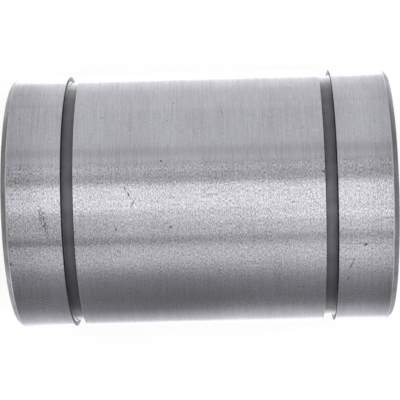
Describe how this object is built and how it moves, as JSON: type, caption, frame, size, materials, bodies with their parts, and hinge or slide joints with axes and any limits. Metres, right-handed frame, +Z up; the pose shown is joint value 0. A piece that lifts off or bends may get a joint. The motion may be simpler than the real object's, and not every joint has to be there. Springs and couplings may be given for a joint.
{
  "type": "open-type linear ball bearing",
  "caption": "Open linear ball bearing: a slotted ground steel sleeve with circlip grooves outside, and caged recirculating balls and end seals inside, for a shaft held from below.",
  "frame": {"origin": "on the shaft's axis, half-way along the bearing", "axes": "+X along the shaft's axis, +Z up, with the opening facing down"},
  "size_m": [0.059, 0.04, 0.0378],
  "materials": {
    "ground_steel": "ground outside, with darker unground grooves, chamfers and inner faces",
    "cage_plastic": "moulded black plastic",
    "spring_steel": "blackened spring steel",
    "seal_rubber": "moulded black rubber",
    "ball_steel": "polished hardened steel"
  },
  "bodies": {
    "bearing": {"outer_sleeve": "ground_steel", "ball_cage": "cage_plastic", "right_retaining_ring": "spring_steel", "left_retaining_ring": "spring_steel", "right_end_seal": "seal_rubber", "left_end_seal": "seal_rubber"},
    "circuit_1_loaded_balls": {"circuit_1_loaded_balls": "ball_steel"},
    "circuit_1_return_balls": {"circuit_1_return_balls": "ball_steel"},
    "circuit_1_right_turn_balls": {"circuit_1_right_turn_balls": "ball_steel"},
    "circuit_1_left_turn_balls": {"circuit_1_left_turn_balls": "ball_steel"},
    "circuit_2_loaded_balls": {"circuit_2_loaded_balls": "ball_steel"},
    "circuit_2_return_balls": {"circuit_2_return_balls": "ball_steel"},
    "circuit_2_right_turn_balls": {"circuit_2_right_turn_balls": "ball_steel"},
    "circuit_2_left_turn_balls": {"circuit_2_left_turn_balls": "ball_steel"},
    "circuit_3_loaded_balls": {"circuit_3_loaded_balls": "ball_steel"},
    "circuit_3_return_balls": {"circuit_3_return_balls": "ball_steel"},
    "circuit_3_right_turn_balls": {"circuit_3_right_turn_balls": "ball_steel"},
    "circuit_3_left_turn_balls": {"circuit_3_left_turn_balls": "ball_steel"},
    "circuit_4_loaded_balls": {"circuit_4_loaded_balls": "ball_steel"},
    "circuit_4_return_balls": {"circuit_4_return_balls": "ball_steel"},
    "circuit_4_right_turn_balls": {"circuit_4_right_turn_balls": "ball_steel"},
    "circuit_4_left_turn_balls": {"circuit_4_left_turn_balls": "ball_steel"},
    "circuit_5_loaded_balls": {"circuit_5_loaded_balls": "ball_steel"},
    "circuit_5_return_balls": {"circuit_5_return_balls": "ball_steel"},
    "circuit_5_right_turn_balls": {"circuit_5_right_turn_balls": "ball_steel"},
    "circuit_5_left_turn_balls": {"circuit_5_left_turn_balls": "ball_steel"}
  },
  "joints": [
    {"name": "circuit_1_loaded_travel", "type": "slide", "parent": "bearing", "child": "circuit_1_loaded_balls", "axis": [1, 0, 0], "range_m": [-0.00211, 0.00211]},
    {"name": "circuit_1_return_travel", "type": "slide", "parent": "bearing", "child": "circuit_1_return_balls", "axis": [-1, 0, 0], "range_m": [-0.00211, 0.00211]},
    {"name": "circuit_1_right_turn", "type": "hinge", "parent": "bearing", "child": "circuit_1_right_turn_balls", "pos_m": [0.01902, 0.0129, -0.0073], "axis": [0, -0.748, 0.6637], "range_deg": [-39.07, 39.07]},
    {"name": "circuit_1_left_turn", "type": "hinge", "parent": "bearing", "child": "circuit_1_left_turn_balls", "pos_m": [-0.01902, 0.0129, -0.0073], "axis": [0, -0.748, 0.6637], "range_deg": [-39.07, 39.07]},
    {"name": "circuit_2_loaded_travel", "type": "slide", "parent": "bearing", "child": "circuit_2_loaded_balls", "axis": [1, 0, 0], "range_m": [-0.00211, 0.00211]},
    {"name": "circuit_2_return_travel", "type": "slide", "parent": "bearing", "child": "circuit_2_return_balls", "axis": [-1, 0, 0], "range_m": [-0.00211, 0.00211]},
    {"name": "circuit_2_right_turn", "type": "hinge", "parent": "bearing", "child": "circuit_2_right_turn_balls", "pos_m": [0.01902, 0.01277, 0.00752], "axis": [0, -0.9488, -0.316], "range_deg": [-39.07, 39.07]},
    {"name": "circuit_2_left_turn", "type": "hinge", "parent": "bearing", "child": "circuit_2_left_turn_balls", "pos_m": [-0.01902, 0.01277, 0.00752], "axis": [0, -0.9488, -0.316], "range_deg": [-39.07, 39.07]},
    {"name": "circuit_3_loaded_travel", "type": "slide", "parent": "bearing", "child": "circuit_3_loaded_balls", "axis": [1, 0, 0], "range_m": [-0.00211, 0.00211]},
    {"name": "circuit_3_return_travel", "type": "slide", "parent": "bearing", "child": "circuit_3_return_balls", "axis": [-1, 0, 0], "range_m": [-0.00211, 0.00211]},
    {"name": "circuit_3_right_turn", "type": "hinge", "parent": "bearing", "child": "circuit_3_right_turn_balls", "pos_m": [0.01902, -0.00013, 0.01482], "axis": [0, -0.2007, -0.9796], "range_deg": [-39.07, 39.07]},
    {"name": "circuit_3_left_turn", "type": "hinge", "parent": "bearing", "child": "circuit_3_left_turn_balls", "pos_m": [-0.01902, -0.00013, 0.01482], "axis": [0, -0.2007, -0.9796], "range_deg": [-39.07, 39.07]},
    {"name": "circuit_4_loaded_travel", "type": "slide", "parent": "bearing", "child": "circuit_4_loaded_balls", "axis": [1, 0, 0], "range_m": [-0.00211, 0.00211]},
    {"name": "circuit_4_return_travel", "type": "slide", "parent": "bearing", "child": "circuit_4_return_balls", "axis": [-1, 0, 0], "range_m": [-0.00211, 0.00211]},
    {"name": "circuit_4_right_turn", "type": "hinge", "parent": "bearing", "child": "circuit_4_right_turn_balls", "pos_m": [0.01902, -0.0129, 0.0073], "axis": [0, 0.748, -0.6637], "range_deg": [-39.07, 39.07]},
    {"name": "circuit_4_left_turn", "type": "hinge", "parent": "bearing", "child": "circuit_4_left_turn_balls", "pos_m": [-0.01902, -0.0129, 0.0073], "axis": [0, 0.748, -0.6637], "range_deg": [-39.07, 39.07]},
    {"name": "circuit_5_loaded_travel", "type": "slide", "parent": "bearing", "child": "circuit_5_loaded_balls", "axis": [1, 0, 0], "range_m": [-0.00211, 0.00211]},
    {"name": "circuit_5_return_travel", "type": "slide", "parent": "bearing", "child": "circuit_5_return_balls", "axis": [-1, 0, 0], "range_m": [-0.00211, 0.00211]},
    {"name": "circuit_5_right_turn", "type": "hinge", "parent": "bearing", "child": "circuit_5_right_turn_balls", "pos_m": [0.01902, -0.01277, -0.00752], "axis": [0, 0.9488, 0.316], "range_deg": [-39.07, 39.07]},
    {"name": "circuit_5_left_turn", "type": "hinge", "parent": "bearing", "child": "circuit_5_left_turn_balls", "pos_m": [-0.01902, -0.01277, -0.00752], "axis": [0, 0.9488, 0.316], "range_deg": [-39.07, 39.07]}
  ],
  "couplings": [
    {"joint": "circuit_1_return_travel", "follows": "circuit_1_loaded_travel", "ratio": 1},
    {"joint": "circuit_1_right_turn", "follows": "circuit_1_loaded_travel", "rad_per_m": 322.58},
    {"joint": "circuit_1_left_turn", "follows": "circuit_1_loaded_travel", "rad_per_m": 322.58},
    {"joint": "circuit_2_return_travel", "follows": "circuit_2_loaded_travel", "ratio": 1},
    {"joint": "circuit_2_right_turn", "follows": "circuit_2_loaded_travel", "rad_per_m": 322.58},
    {"joint": "circuit_2_left_turn", "follows": "circuit_2_loaded_travel", "rad_per_m": 322.58},
    {"joint": "circuit_3_return_travel", "follows": "circuit_3_loaded_travel", "ratio": 1},
    {"joint": "circuit_3_right_turn", "follows": "circuit_3_loaded_travel", "rad_per_m": 322.58},
    {"joint": "circuit_3_left_turn", "follows": "circuit_3_loaded_travel", "rad_per_m": 322.58},
    {"joint": "circuit_4_return_travel", "follows": "circuit_4_loaded_travel", "ratio": 1},
    {"joint": "circuit_4_right_turn", "follows": "circuit_4_loaded_travel", "rad_per_m": 322.58},
    {"joint": "circuit_4_left_turn", "follows": "circuit_4_loaded_travel", "rad_per_m": 322.58},
    {"joint": "circuit_5_return_travel", "follows": "circuit_5_loaded_travel", "ratio": 1},
    {"joint": "circuit_5_right_turn", "follows": "circuit_5_loaded_travel", "rad_per_m": 322.58},
    {"joint": "circuit_5_left_turn", "follows": "circuit_5_loaded_travel", "rad_per_m": 322.58}
  ]
}
